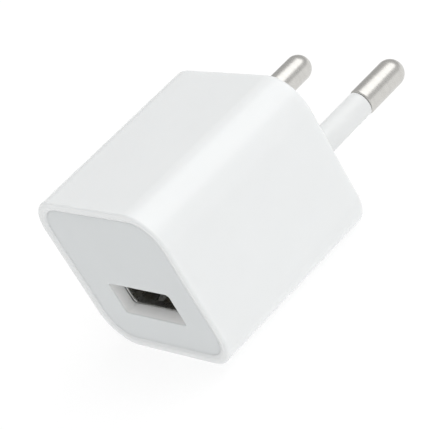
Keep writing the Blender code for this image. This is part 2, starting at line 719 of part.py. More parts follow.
def make_choke(ferrite, copper):
    """A drum core with its winding between two flanges."""
    place = (CHOKE_X, MAIN_BOARD_FRONT - REST_GAP, CHOKE_Z)
    far_flange = -CHOKE_LENGTH + CHOKE_FLANGE_THICKNESS
    core_profile = [
        (-CHOKE_LENGTH, CHOKE_FLANGE_RADIUS),
        (far_flange, CHOKE_FLANGE_RADIUS),
        (far_flange, CHOKE_CORE_RADIUS),
        (-CHOKE_FLANGE_THICKNESS, CHOKE_CORE_RADIUS),
        (-CHOKE_FLANGE_THICKNESS, CHOKE_FLANGE_RADIUS),
        (0, CHOKE_FLANGE_RADIUS),
    ]
    winding_front = far_flange + FIT_GAP
    winding_back = -CHOKE_FLANGE_THICKNESS - FIT_GAP
    winding_profile = [
        (winding_front, CHOKE_WINDING_RADIUS),
        (winding_back, CHOKE_WINDING_RADIUS),
        (winding_back, CHOKE_CORE_RADIUS + FIT_GAP),
        (winding_front, CHOKE_CORE_RADIUS + FIT_GAP),
    ]
    return [
        turned("choke_core", ferrite, "Y", core_profile, place),
        turned("choke_winding", copper, "Y", winding_profile, place, hollow=True),
    ]


def make_chip(name, material, x, along_board, surface, side, size):
    """A moulded package against a board. side is the axis that the board faces, +Y or -Z."""
    width, length, height = size
    half_width = width / 2
    half_length = length / 2
    if side == "+Y":
        low = (x - half_width, surface, along_board - half_length)
        high = (x + half_width, surface + height, along_board + half_length)
    else:
        low = (x - half_width, along_board - half_length, surface - height)
        high = (x + half_width, along_board + half_length, surface)
    return block(name, material, low, high)


def make_small_parts(epoxy, ceramic, resistive):
    """The packages behind the mains board, and those under the level board."""
    behind = MAIN_BOARD_BACK + REST_GAP
    under = USB_BOARD_BOTTOM - REST_GAP
    chips = [
        ("bridge_rectifier", epoxy, 0, -0.4 * MM, behind, "+Y", RECTIFIER_SIZE),
        ("controller_chip", epoxy, 0, -6.3 * MM, behind, "+Y", CONTROLLER_SIZE),
        ("output_diode", epoxy, -4.0 * MM, -20.0 * MM, under, "-Z", DIODE_SIZE),
        ("chip_resistor_1", resistive, 1.5 * MM, -21.5 * MM, under, "-Z", CHIP_RESISTOR_SIZE),
        ("chip_resistor_2", resistive, -1.0 * MM, -16.4 * MM, under, "-Z", CHIP_RESISTOR_SIZE),
        ("chip_capacitor_1", ceramic, 4.3 * MM, -21.5 * MM, under, "-Z", CHIP_CAPACITOR_SIZE),
        ("chip_capacitor_2", ceramic, 2.0 * MM, -16.4 * MM, under, "-Z", CHIP_CAPACITOR_SIZE),
    ]
    return [make_chip(*chip) for chip in chips]


def parent_all(parts):
    """Holds the finished parts on one empty at the origin."""
    root = bpy.data.objects.new("charger", None)
    bpy.context.scene.collection.objects.link(root)
    for part in parts:
        part.parent = root


def main():
    clear_scene()
    white = make_material("white_gloss_plastic", (0.88, 0.89, 0.88), 0.18)
    panel_white = make_material("white_panel_plastic", (0.86, 0.87, 0.87), 0.24)
    sleeve_white = make_material("white_sleeve_plastic", (0.85, 0.86, 0.85), 0.35)
    nickel = make_material("nickel_plated_brass", (0.66, 0.63, 0.59), 0.22, 1.0)
    steel = make_material("tinned_steel", (0.60, 0.60, 0.58), 0.30, 1.0)
    gold = make_material("gold_plated_contact", (0.83, 0.62, 0.28), 0.25, 1.0)
    bronze = make_material("phosphor_bronze", (0.72, 0.48, 0.30), 0.35, 1.0)
    black = make_material("black_moulding", (0.02, 0.02, 0.02), 0.45)
    green = make_material("board_laminate", (0.05, 0.20, 0.08), 0.45)
    clear_film = make_material("insulating_film", (0.80, 0.76, 0.62), 0.30)
    ferrite = make_material("ferrite", (0.06, 0.06, 0.065), 0.60)
    copper = make_material("enamelled_copper", (0.56, 0.22, 0.09), 0.30, 1.0)
    tape = make_material("yellow_tape", (0.85, 0.68, 0.10), 0.35)
    can = make_material("capacitor_can", (0.08, 0.09, 0.16), 0.35)
    silver_can = make_material("aluminium_can", (0.75, 0.76, 0.77), 0.30, 1.0)
    rubber = make_material("bung_rubber", (0.03, 0.03, 0.03), 0.80)
    blue = make_material("blue_lacquer", (0.05, 0.18, 0.50), 0.40)
    green_lacquer = make_material("resistor_lacquer", (0.20, 0.42, 0.30), 0.50)
    epoxy = make_material("package_epoxy", (0.03, 0.03, 0.03), 0.55)
    ceramic = make_material("chip_ceramic", (0.55, 0.42, 0.28), 0.50)
    resistive = make_material("chip_resistor_glaze", (0.05, 0.05, 0.06), 0.35)

    parts = [make_case(white), make_front_panel(panel_white)]
    for side, label in ((-1, "left"), (1, "right")):
        parts += make_pin(side, label, nickel, sleeve_white)
        parts.append(make_pin_contact(side, label, bronze))
    parts += [make_main_board(green), make_usb_board(green), make_insulating_sheet(clear_film)]
    parts += [make_shield(steel), make_usb_insulator(black)]
    for number, x in enumerate(CONTACT_XS, start=1):
        parts.append(make_usb_terminal(number, x, gold))
        parts.append(make_usb_contact(number, x, gold))
    parts += make_transformer(ferrite, black, copper, tape)
    parts += make_input_capacitor(can, rubber)
    for number, x in enumerate(OUTPUT_CAN_XS, start=1):
        parts.append(make_output_capacitor(number, x, silver_can))
    parts += [make_y_capacitor(blue), make_fuse_resistor(green_lacquer)]
    parts += make_choke(ferrite, copper)
    parts += make_small_parts(epoxy, ceramic, resistive)
    parent_all(parts)


main()
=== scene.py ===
import json
import math

import bmesh
import bpy
from mathutils import Matrix, Vector


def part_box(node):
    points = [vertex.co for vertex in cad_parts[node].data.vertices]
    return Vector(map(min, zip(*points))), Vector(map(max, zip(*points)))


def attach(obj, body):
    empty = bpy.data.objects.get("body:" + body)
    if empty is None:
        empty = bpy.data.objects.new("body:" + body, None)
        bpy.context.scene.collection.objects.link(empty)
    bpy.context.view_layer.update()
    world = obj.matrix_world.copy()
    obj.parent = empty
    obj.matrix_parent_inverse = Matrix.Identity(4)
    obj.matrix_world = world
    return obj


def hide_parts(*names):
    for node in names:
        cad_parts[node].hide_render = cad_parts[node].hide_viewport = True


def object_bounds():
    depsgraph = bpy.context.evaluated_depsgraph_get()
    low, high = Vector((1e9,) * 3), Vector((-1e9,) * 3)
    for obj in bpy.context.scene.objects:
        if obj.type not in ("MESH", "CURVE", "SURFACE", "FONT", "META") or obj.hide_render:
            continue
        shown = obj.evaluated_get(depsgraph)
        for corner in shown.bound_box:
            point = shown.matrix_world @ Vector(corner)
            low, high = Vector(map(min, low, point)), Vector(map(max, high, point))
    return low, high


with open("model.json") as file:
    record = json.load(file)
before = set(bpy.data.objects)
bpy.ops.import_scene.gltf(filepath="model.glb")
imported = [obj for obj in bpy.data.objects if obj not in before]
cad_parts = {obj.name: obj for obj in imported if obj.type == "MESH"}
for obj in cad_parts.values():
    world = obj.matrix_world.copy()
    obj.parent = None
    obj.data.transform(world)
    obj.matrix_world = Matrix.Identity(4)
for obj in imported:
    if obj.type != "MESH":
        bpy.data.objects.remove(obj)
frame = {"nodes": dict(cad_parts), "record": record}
cad_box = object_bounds()

# The looks of a small USB wall charger: finer outer mouldings, pins and socket around the frame,
# a procedural finish for every piece, a pale floor, soft light and the camera.
# Metres. The pins point along +Y into the wall, the USB socket faces -Y, +Z is up.

MM = 0.001

# Places and sizes that the frame gives.
CASE_LOW, CASE_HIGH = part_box("case_shell")
CASE_WIDTH = CASE_HIGH.x - CASE_LOW.x
CASE_HEIGHT = CASE_HIGH.z - CASE_LOW.z
CASE_FRONT = CASE_LOW.y
PANEL_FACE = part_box("front_panel")[0].y
SKIRT_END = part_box("front_panel")[1].y
PIN_LOW, PIN_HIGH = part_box("pin_right")
PIN_X = (PIN_LOW.x + PIN_HIGH.x) / 2
PIN_RADIUS = (PIN_HIGH.x - PIN_LOW.x) / 2
PIN_TIP = PIN_HIGH.y
PIN_INNER_END = PIN_LOW.y
SLEEVE_LOW, SLEEVE_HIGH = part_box("pin_sleeve_right")
SLEEVE_RADIUS = (SLEEVE_HIGH.x - SLEEVE_LOW.x) / 2
SLEEVE_ROOT = SLEEVE_LOW.y
SHIELD_LOW, SHIELD_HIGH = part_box("usb_shield")
BASE_LOW, BASE_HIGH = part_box("usb_insulator")
USB_Z = (BASE_LOW.z + BASE_HIGH.z) / 2

# Case and panel.
CASE_CORNER = 5.5 * MM
CASE_WALL = 1.9 * MM
REAR_WALL = 2.2 * MM
REAR_FILLET = 0.6 * MM
FRONT_FILLET = 0.35 * MM
RIM_WIDTH = 1.5 * MM
RIM_SLOPE = 0.7 * MM
RIM_STEPS = 12
PANEL_SEAT = CASE_FRONT + 2.0 * MM
PANEL_BACK = CASE_FRONT + 1.95 * MM
PANEL_GAP = 0.01 * MM
PANEL_EDGE = 0.02 * MM
SKIRT_OUTER = CASE_WALL + 0.1 * MM
SKIRT_INNER = SKIRT_OUTER + 0.75 * MM

# The USB window narrows from the panel's face to its throat. Heights are from the origin.
WINDOW_WIDTH = 13.2 * MM
WINDOW_BOTTOM = -6.5 * MM
WINDOW_TOP = -1.25 * MM
THROAT_WIDTH = 12.6 * MM
THROAT_BOTTOM = -6.1 * MM
THROAT_TOP = -1.15 * MM
WINDOW_CORNER = 0.5 * MM
WINDOW_FILLET = 0.18 * MM

# Marks in the rear face. The blank label's recess is (width, height, corner).
RATING_RECESS = (11.0 * MM, 15.0 * MM, 1.0 * MM)
RATING_DEPTH = 0.12 * MM
EJECTOR_RADIUS = 0.9 * MM
EJECTOR_DEPTH = 0.06 * MM
EJECTOR_Z = 9.9 * MM

# Pins and sleeves.
PIN_CORE_RADIUS = 1.5 * MM
PIN_HEAD_RADIUS = 2.0 * MM
PIN_HEAD_THICKNESS = 0.75 * MM
PIN_CHAMFER = 0.18 * MM
PIN_SHOULDER = 0.3 * MM
SLEEVE_FLARE = 0.25 * MM
SLEEVE_ROUND = 0.12 * MM
HOLE_GAP = 0.1 * MM
RELIEF_RADIUS = 3.0 * MM
RELIEF_DEPTH = 0.15 * MM

# USB socket. The mouth is (width, height, corner).
MOUTH_SIZE = (12.5 * MM, 5.12 * MM, 0.5 * MM)
SHEET = 0.3 * MM
# The rolled lip, from inside the mouth round to its outside: (distance from the front, growth).
LIP_PROFILE = (
    (0.35 * MM, 0),
    (0.12 * MM, 0.04 * MM),
    (0.03 * MM, 0.10 * MM),
    (0, 0.17 * MM),
    (0.03 * MM, 0.25 * MM),
)
LIP_DEPTH = 0.12 * MM
LEG_THICKNESS = 0.24 * MM
LEG_FRONT = -19.6 * MM
LEG_BACK = -17.8 * MM
FINGER_WIDTH = 1.5 * MM
FINGER_LENGTH = 4.4 * MM
FINGER_FRONT = SHIELD_LOW.y + 1.3 * MM
FINGER_SLOT_GAP = 0.18 * MM
FINGER_THICKNESS = 0.8 * SHEET
FINGER_BOW = 0.38 * MM
FINGER_BOW_SHARE = 0.8
FINGER_STEPS = 14
FINGER_XS = (-2.3 * MM, 2.3 * MM)
CONTACT_NUMBERS = range(1, 5)
CONTACT_SHEET = 0.25 * MM
CONTACT_BUMP_REACH = 5.5 * MM
CONTACT_TIP_LIFT = 0.55
CONTACT_STEPS = 26
STRIP_ROUND = 0.05 * MM

CORNER_STEPS = 22
ROUND_STEPS = 72
FILLET_STEPS = 8
BEVEL_STEPS = 3
SMOOTH_ANGLE = math.radians(32)
BEVEL_ANGLE = math.radians(40)


def quarter_turn(steps=FILLET_STEPS):
    return [math.pi / 2 * step / steps for step in range(steps + 1)]


def rounded_outline(width, height, radius, steps=CORNER_STEPS):
    """Anticlockwise (u, v) points of a rounded rectangle about the origin."""
    points = []
    for quarter, (side_u, side_v) in enumerate(((1, 1), (-1, 1), (-1, -1), (1, -1))):
        centre_u = side_u * (width / 2 - radius)
        centre_v = side_v * (height / 2 - radius)
        for turn in quarter_turn(steps):
            angle = turn + math.pi / 2 * quarter
            u = centre_u + radius * math.cos(angle)
            v = centre_v + radius * math.sin(angle)
            points.append((u, v))
    return points


def circle(radius):
    angles = [2 * math.pi * step / ROUND_STEPS for step in range(ROUND_STEPS)]
    return [(radius * math.cos(angle), radius * math.sin(angle)) for angle in angles]


def case_section(inset):
    """The case's rounded square, moved inwards by inset on every side."""
    return rounded_outline(CASE_WIDTH - 2 * inset, CASE_HEIGHT - 2 * inset, CASE_CORNER - inset)


def grown(size, growth):
    """The outline of a (width, height, corner) rectangle, moved outwards by growth."""
    width, height, corner = size
    return rounded_outline(width + 2 * growth, height + 2 * growth, corner + growth, FILLET_STEPS)


def along(axis, place, u, v):
    """The point at place on an axis, with u and v on the other two in XYZ order."""
    order = {"X": (place, u, v), "Y": (u, place, v), "Z": (u, v, place)}
    return Vector(order[axis])


def shade(mesh):
    mesh.shade_smooth()
    mesh.set_sharp_from_angle(angle=SMOOTH_ANGLE)


def loft(name, axis, sections, location=(0, 0, 0), hollow=False):
    """A closed mesh through (place, outline) sections. A hollow one joins its last ring to its first."""
    bm = bmesh.new()
    rings = []
    for place, outline in sections:
        rings.append([bm.verts.new(along(axis, place, u, v)) for u, v in outline])
    pairs = list(zip(rings, rings[1:]))
    if hollow:
        pairs.append((rings[-1], rings[0]))
    else:
        bm.faces.new(rings[0])
        bm.faces.new(rings[-1])
    for first, second in pairs:
        for index in range(len(first)):
            following = (index + 1) % len(first)
            bm.faces.new((first[index], first[following], second[following], second[index]))
    bmesh.ops.recalc_face_normals(bm, faces=bm.faces)
    mesh = bpy.data.meshes.new(name)
    bm.to_mesh(mesh)
    bm.free()
    mesh.transform(Matrix.Translation(location))
    shade(mesh)
    obj = bpy.data.objects.new(name, mesh)
    bpy.context.scene.collection.objects.link(obj)
    return obj


def turned(name, axis, profile, location=(0, 0, 0), hollow=False):
    """A round piece through (place, radius) points along an axis."""
    sections = [(place, circle(radius)) for place, radius in profile]
    return loft(name, axis, sections, location, hollow)


def block(name, low, high):
    outline = [(low[0], low[1]), (high[0], low[1]), (high[0], high[1]), (low[0], high[1])]
    return loft(name, "Z", [(low[2], outline), (high[2], outline)])


def bake_modifiers(obj):
    """Turns what the object's modifiers make into its own mesh."""
    graph = bpy.context.evaluated_depsgraph_get()
    mesh = bpy.data.meshes.new_from_object(obj.evaluated_get(graph))
    obj.modifiers.clear()
    obj.data = mesh
    shade(mesh)


def carve(obj, helpers, operation="DIFFERENCE"):
    """Cuts the helpers out of obj, or joins them to it, and deletes them."""
    for helper in helpers:
        modifier = obj.modifiers.new(helper.name, "BOOLEAN")
        modifier.operation = operation
        modifier.solver = "EXACT"
        modifier.object = helper
    bake_modifiers(obj)
    for helper in helpers:
        bpy.data.objects.remove(helper, do_unlink=True)


def soften(obj, width):
    """Rounds the piece's edges and keeps its flat faces flat in shading."""
    bevel = obj.modifiers.new("soft_edges", "BEVEL")
    bevel.width = width
    bevel.segments = BEVEL_STEPS
    bevel.limit_method = "ANGLE"
    bevel.angle_limit = BEVEL_ANGLE
    bake_modifiers(obj)
    flatten_shading(obj)


def flatten_shading(obj):
    weighted = obj.modifiers.new("face_weighted_normals", "WEIGHTED_NORMAL")
    weighted.keep_sharp = True


def ribbon(path, thickness):
    """The outline of a bent strip: the path's points moved half a thickness to each side."""
    left = []
    right = []
    for index, point in enumerate(path):
        before = Vector(path[max(index - 1, 0)])
        after = Vector(path[min(index + 1, len(path) - 1)])
        normal = (after - before).orthogonal().normalized() * thickness / 2
        left.append(tuple(Vector(point) + normal))
        right.append(tuple(Vector(point) - normal))
    return left + right[::-1]


def case_sections():
    """The cup's sections: rear face, outer skin, rim, panel seat and cavity."""
    sections = []
    for angle in quarter_turn():
        place = -REAR_FILLET * (1 - math.cos(angle))
        sections.append((place, case_section(REAR_FILLET * (1 - math.sin(angle)))))
    for angle in quarter_turn():
        place = CASE_FRONT + FRONT_FILLET * (1 - math.sin(angle))
        sections.append((place, case_section(FRONT_FILLET * (1 - math.cos(angle)))))
    rim_drop = PANEL_FACE - CASE_FRONT
    for step in range(RIM_STEPS + 1):
        share = step / RIM_STEPS
        place = CASE_FRONT + rim_drop * (1 - math.cos(math.pi * share)) / 2
        sections.append((place, case_section(RIM_WIDTH - RIM_SLOPE * (1 - share))))
    sections.append((PANEL_SEAT, case_section(RIM_WIDTH)))
    sections.append((PANEL_SEAT, case_section(CASE_WALL)))
    sections.append((-REAR_WALL, case_section(CASE_WALL)))
    return sections


def pin_hole_cutters():
    """The stepped hole for each pin and its sleeve, with a shallow ring round it in the rear face."""
    sleeve_seat = SLEEVE_ROOT - HOLE_GAP
    profile = [
        (-2 * REAR_WALL, PIN_CORE_RADIUS + HOLE_GAP),
        (sleeve_seat, PIN_CORE_RADIUS + HOLE_GAP),
        (sleeve_seat, SLEEVE_RADIUS + HOLE_GAP),
        (-RELIEF_DEPTH, SLEEVE_RADIUS + HOLE_GAP),
        (-RELIEF_DEPTH, RELIEF_RADIUS - RELIEF_DEPTH),
        (0, RELIEF_RADIUS),
        (REAR_WALL, RELIEF_RADIUS),
    ]
    return [turned("pin_hole", "Y", profile, (side * PIN_X, 0, 0)) for side in (-1, 1)]


def rear_mark_cutters():
    """The blank label's recess and the two ejector marks. Each reaches past the rear face."""
    label = [
        (-RATING_DEPTH, grown(RATING_RECESS, 0)),
        (0, grown(RATING_RECESS, RATING_DEPTH)),
        (REAR_WALL, grown(RATING_RECESS, RATING_DEPTH)),
    ]
    cutters = [loft("rating_recess", "Y", label)]
    mark = [(-EJECTOR_DEPTH, EJECTOR_RADIUS), (REAR_WALL, EJECTOR_RADIUS)]
    for side in (-1, 1):
        cutters.append(turned("ejector_mark", "Y", mark, (0, 0, side * EJECTOR_Z)))
    return cutters


def make_case():
    """The moulded cup, with the pins' holes and the marks in its rear face."""
    case = loft("case_moulding", "Y", case_sections())
    carve(case, pin_hole_cutters() + rear_mark_cutters())
    flatten_shading(case)
    return case


def window_outline(depth, growth=0.0):
    """The USB window between the panel's face, depth 0, and the narrower throat, depth 1."""
    width = WINDOW_WIDTH + (THROAT_WIDTH - WINDOW_WIDTH) * depth
    bottom = WINDOW_BOTTOM + (THROAT_BOTTOM - WINDOW_BOTTOM) * depth
    top = WINDOW_TOP + (THROAT_TOP - WINDOW_TOP) * depth
    outline = grown((width, top - bottom, WINDOW_CORNER), growth)
    return [(u, v + (bottom + top) / 2) for u, v in outline]


def make_panel():
    """The panel inside the rim, with its skirt and the rounded USB window."""
    edge = RIM_WIDTH + PANEL_GAP
    sections = [
        (PANEL_FACE, case_section(edge + PANEL_EDGE)),
        (PANEL_FACE + PANEL_EDGE, case_section(edge)),
        (PANEL_BACK, case_section(edge)),
        (PANEL_BACK, case_section(SKIRT_OUTER)),
        (SKIRT_END, case_section(SKIRT_OUTER)),
        (SKIRT_END, case_section(SKIRT_INNER)),
        (PANEL_BACK, case_section(SKIRT_INNER)),
    ]
    panel = loft("front_moulding", "Y", sections)
    window = [(PANEL_FACE - CASE_WALL, window_outline(0, WINDOW_FILLET))]
    for angle in quarter_turn():
        place = PANEL_FACE + WINDOW_FILLET * (1 - math.cos(angle))
        window.append((place, window_outline(0, WINDOW_FILLET * (1 - math.sin(angle)))))
    window.append((PANEL_BACK, window_outline(1)))
    window.append((SKIRT_END + CASE_WALL, window_outline(1)))
    carve(panel, [loft("usb_window", "Y", window)])
    flatten_shading(panel)
    return panel


def make_pin(side, label):
    """A turned pin: anchor head, core inside the sleeve, rounded shoulder and round nose."""
    head_back = -REAR_WALL - HOLE_GAP
    head_front = head_back - PIN_HEAD_THICKNESS
    shoulder = SLEEVE_HIGH.y + HOLE_GAP
    profile = [
        (PIN_INNER_END, PIN_CORE_RADIUS - PIN_CHAMFER),
        (PIN_INNER_END + PIN_CHAMFER, PIN_CORE_RADIUS),
        (head_front, PIN_CORE_RADIUS),
        (head_front, PIN_HEAD_RADIUS),
        (head_back, PIN_HEAD_RADIUS),
        (head_back, PIN_CORE_RADIUS),
        (shoulder, PIN_CORE_RADIUS),
    ]
    for angle in quarter_turn():
        place = shoulder + PIN_SHOULDER * (1 - math.cos(angle))
        profile.append((place, PIN_RADIUS - PIN_SHOULDER * (1 - math.sin(angle))))
    nose = PIN_TIP - PIN_RADIUS
    for angle in quarter_turn(2 * FILLET_STEPS)[:-1]:
        profile.append((nose + PIN_RADIUS * math.sin(angle), PIN_RADIUS * math.cos(angle)))
    return turned("pin_rod_" + label, "Y", profile, (side * PIN_X, 0, 0))


def make_sleeve(side, label):
    """The insulating sleeve: a tube with a moulded flare at the case and a rounded far edge."""
    bore = PIN_CORE_RADIUS + HOLE_GAP
    profile = [(SLEEVE_ROOT, SLEEVE_RADIUS), (-RELIEF_DEPTH, SLEEVE_RADIUS)]
    for angle in quarter_turn():
        place = -RELIEF_DEPTH + SLEEVE_FLARE * (1 - math.cos(angle))
        profile.append((place, SLEEVE_RADIUS + SLEEVE_FLARE * (1 - math.sin(angle))))
    for angle in quarter_turn():
        place = SLEEVE_HIGH.y - SLEEVE_ROUND * (1 - math.sin(angle))
        profile.append((place, SLEEVE_RADIUS - SLEEVE_ROUND * (1 - math.cos(angle))))
    profile += [(SLEEVE_HIGH.y, bore), (SLEEVE_ROOT, bore)]
    return turned("sleeve_tube_" + label, "Y", profile, (side * PIN_X, 0, 0), hollow=True)


def shell_legs():
    """The two solder legs at the sides of the socket's shell."""
    legs = []
    for side in (-1, 1):
        x = side * (MOUTH_SIZE[0] + SHEET) / 2
        low = (x - LEG_THICKNESS / 2, LEG_FRONT, SHIELD_LOW.z)
        high = (x + LEG_THICKNESS / 2, LEG_BACK, USB_Z)
        legs.append(block("shell_leg", low, high))
    return legs


def finger_slot_cutters():
    """The openings in the shell's upper and lower sheets that its spring fingers are cut from."""
    slots = []
    reach = FINGER_WIDTH / 2 + FINGER_SLOT_GAP
    for side in (-1, 1):
        z = USB_Z + side * MOUTH_SIZE[1] / 2
        for x in FINGER_XS:
            low = (x - reach, FINGER_FRONT - FINGER_SLOT_GAP, z - 2 * SHEET)
            high = (x + reach, FINGER_FRONT + FINGER_LENGTH, z + 2 * SHEET)
            slots.append(block("finger_slot", low, high))
    return slots


def make_socket_shell():
    """The socket's folded steel shell: a rolled lip, solder legs and slots for its spring fingers."""
    front = SHIELD_LOW.y
    back = SHIELD_HIGH.y
    rings = [(front + LIP_DEPTH, SHEET), (back, SHEET), (back, 0)]
    rings += [(front + distance, growth) for distance, growth in LIP_PROFILE]
    sections = [(place, grown(MOUTH_SIZE, growth)) for place, growth in rings]
    shell = loft("socket_shell", "Y", sections, (0, 0, USB_Z), hollow=True)
    carve(shell, shell_legs(), "UNION")
    carve(shell, finger_slot_cutters())
    flatten_shading(shell)
    return shell


def make_spring_fingers():
    """The four fingers that grip a plug.

    Each bows into the mouth from the far end of its slot, and its free end turns back out."""
    fingers = []
    for side, face in ((-1, "lower"), (1, "upper")):
        z = USB_Z + side * (MOUTH_SIZE[1] + SHEET) / 2
        path = []
        for step in range(FINGER_STEPS + 1):
            share = step / FINGER_STEPS
            bow = math.sin(math.pi * share / FINGER_BOW_SHARE) * FINGER_BOW
            path.append((FINGER_FRONT + FINGER_LENGTH * (1 - share), z - side * bow))
        outline = ribbon(path, FINGER_THICKNESS)
        for x, hand in zip(FINGER_XS, ("left", "right")):
            ends = [(x - FINGER_WIDTH / 2, outline), (x + FINGER_WIDTH / 2, outline)]
            finger = loft(f"spring_finger_{face}_{hand}", "X", ends)
            soften(finger, STRIP_ROUND)
            fingers.append(finger)
    return fingers


def make_contact(number):
    """The sprung end of a USB contact: a smooth wave with its bump near the front."""
    low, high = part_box(f"usb_contact_{number}")
    pivot_z = high.z - CONTACT_SHEET / 2
    drop = high.z - low.z - CONTACT_SHEET
    length = high.y - low.y
    path = []
    for step in range(CONTACT_STEPS + 1):
        reach = length * step / CONTACT_STEPS
        if reach < CONTACT_BUMP_REACH:
            share = (1 - math.cos(math.pi * reach / CONTACT_BUMP_REACH)) / 2
        else:
            past_bump = (reach - CONTACT_BUMP_REACH) / (length - CONTACT_BUMP_REACH)
            share = 1 - CONTACT_TIP_LIFT * past_bump ** 2
        path.append((high.y - reach, pivot_z - drop * share))
    outline = ribbon(path, CONTACT_SHEET)
    contact = loft(f"contact_spring_{number}", "X", [(low.x, outline), (high.x, outline)])
    soften(contact, STRIP_ROUND)
    return contact


# Procedural finishes. Sizes are in metres, in the object's own coordinates.

SURFACE_IOR = 1.5
NOISE_LOW = 0.35
NOISE_HIGH = 0.65
NOISE_DETAIL = 3.0
WHITE_GLOW_WEIGHT = 0.35
WHITE_GLOW_RADIUS = (1.0, 0.97, 0.94)
WHITE_GLOW_DEPTH = 1.2 * MM
PANEL_FACE_COLOUR = (0.700, 0.725, 0.730)
# Painted light: the USB window's walls are coloured lighter than the face, from a little behind the face
# inwards, to offset the shade inside the recess.
WINDOW_WALL_PAINTED_LIGHT = (0.930, 0.935, 0.925)
WALL_PAINTED_LIGHT_START = PANEL_FACE + 0.05 * MM
WALL_PAINTED_LIGHT_END = PANEL_FACE + 0.3 * MM
# Puts a wave texture's diagonal bands a little over one unit apart.
DIAGONAL_WAVE_SCALE = math.pi / 10


def new_look(name, roughness, metallic=0.0):
    """A material and its Principled shader, with the values that are the same all over."""
    material = bpy.data.materials.new(name)
    material.use_nodes = True
    shader = material.node_tree.nodes["Principled BSDF"]
    shader.inputs["Roughness"].default_value = roughness
    shader.inputs["Metallic"].default_value = metallic
    shader.inputs["IOR"].default_value = SURFACE_IOR
    return material, shader


def place_of(tree, size, stretch):
    """Object coordinates scaled so that one unit is size. stretch lengthens the pattern on an axis."""
    source = tree.nodes.new("ShaderNodeTexCoord")
    mapping = tree.nodes.new("ShaderNodeMapping")
    mapping.inputs["Scale"].default_value = [1 / (size * factor) for factor in stretch]
    tree.links.new(source.outputs["Object"], mapping.inputs["Vector"])
    return mapping.outputs["Vector"]


def noise(tree, size, stretch=(1, 1, 1)):
    texture = tree.nodes.new("ShaderNodeTexNoise")
    texture.inputs["Scale"].default_value = 1.0
    texture.inputs["Detail"].default_value = NOISE_DETAIL
    tree.links.new(place_of(tree, size, stretch), texture.inputs["Vector"])
    return texture.outputs["Fac"]


def slanting_bands(tree, size, distortion):
    """Parallel slanting ridges, about one every size, as turns of wire make."""
    texture = tree.nodes.new("ShaderNodeTexWave")
    texture.wave_type = "BANDS"
    texture.bands_direction = "DIAGONAL"
    texture.inputs["Scale"].default_value = DIAGONAL_WAVE_SCALE
    texture.inputs["Distortion"].default_value = distortion
    tree.links.new(place_of(tree, size, (1, 1, 1)), texture.inputs["Vector"])
    return texture.outputs["Fac"]


def blend_colours(tree, factor, first, second, low=NOISE_LOW, high=NOISE_HIGH):
    ramp = tree.nodes.new("ShaderNodeValToRGB")
    ramp.color_ramp.elements[0].position = low
    ramp.color_ramp.elements[0].color = (*first, 1)
    ramp.color_ramp.elements[1].position = high
    ramp.color_ramp.elements[1].color = (*second, 1)
    tree.links.new(factor, ramp.inputs["Fac"])
    return ramp.outputs["Color"]


def place_on(tree, axis):
    """The object coordinate on one axis."""
    source = tree.nodes.new("ShaderNodeTexCoord")
    parts = tree.nodes.new("ShaderNodeSeparateXYZ")
    tree.links.new(source.outputs["Object"], parts.inputs["Vector"])
    return parts.outputs[axis]


def mixed(tree, factor, first, second):
    """One colour output that turns into another as the factor goes from 0 to 1."""
    mix = tree.nodes.new("ShaderNodeMix")
    mix.data_type = "RGBA"
    colour_inputs = [socket for socket in mix.inputs if socket.type == "RGBA"]
    tree.links.new(factor, mix.inputs[0])
    tree.links.new(first, colour_inputs[0])
    tree.links.new(second, colour_inputs[1])
    return next(socket for socket in mix.outputs if socket.type == "RGBA")


def spread(tree, factor, low, high, start=NOISE_LOW, end=NOISE_HIGH):
    """Maps a value that runs from start to end, such as a noise, onto another range."""
    scaled = tree.nodes.new("ShaderNodeMapRange")
    scaled.inputs["From Min"].default_value = start
    scaled.inputs["From Max"].default_value = end
    scaled.inputs["To Min"].default_value = low
    scaled.inputs["To Max"].default_value = high
    tree.links.new(factor, scaled.inputs["Value"])
    return scaled.outputs["Result"]


def emboss(tree, shader, height, depth):
    bump = tree.nodes.new("ShaderNodeBump")
    bump.inputs["Distance"].default_value = depth
    tree.links.new(height, bump.inputs["Height"])
    tree.links.new(bump.outputs["Normal"], shader.inputs["Normal"])


def add_grain(tree, shader, roughness, grain, depth, stretch=(1, 1, 1)):
    """One pattern of noise that varies the roughness over its (low, high) pair, and raises a bump."""
    pattern = noise(tree, grain, stretch)
    tree.links.new(spread(tree, pattern, *roughness), shader.inputs["Roughness"])
    emboss(tree, shader, pattern, depth)


def finish_look(name, colours, roughness, blotch, grain, depth, metallic=0.0, stretch=(1, 1, 1)):
    """Blotches of colour, and a finer grain in the roughness and the bump.

    colours and roughness are (low, high) pairs. blotch, grain and depth are sizes."""
    material, shader = new_look(name, roughness[0], metallic)
    tree = material.node_tree
    colour = blend_colours(tree, noise(tree, blotch, stretch), *colours)
    tree.links.new(colour, shader.inputs["Base Color"])
    add_grain(tree, shader, roughness, grain, depth, stretch)
    return material


def around(colour, change):
    """A colour a little darker, and the same a little lighter."""
    return [tuple(channel * (1 + sign * change) for channel in colour) for sign in (-1, 1)]


def translucent(material):
    """Lets light spread inside a white plastic, which softens its corners and its recesses."""
    shader = material.node_tree.nodes["Principled BSDF"]
    shader.inputs["Subsurface Weight"].default_value = WHITE_GLOW_WEIGHT
    shader.inputs["Subsurface Radius"].default_value = WHITE_GLOW_RADIUS
    shader.inputs["Subsurface Scale"].default_value = WHITE_GLOW_DEPTH
    return material


def white_case_look():
    colours = around((0.832, 0.846, 0.848), 0.005)
    look = finish_look(
        "white_gloss_case",
        colours,
        roughness=(0.19, 0.23),
        blotch=7 * MM,
        grain=5 * MM,
        depth=0.003 * MM,
    )
    return translucent(look)


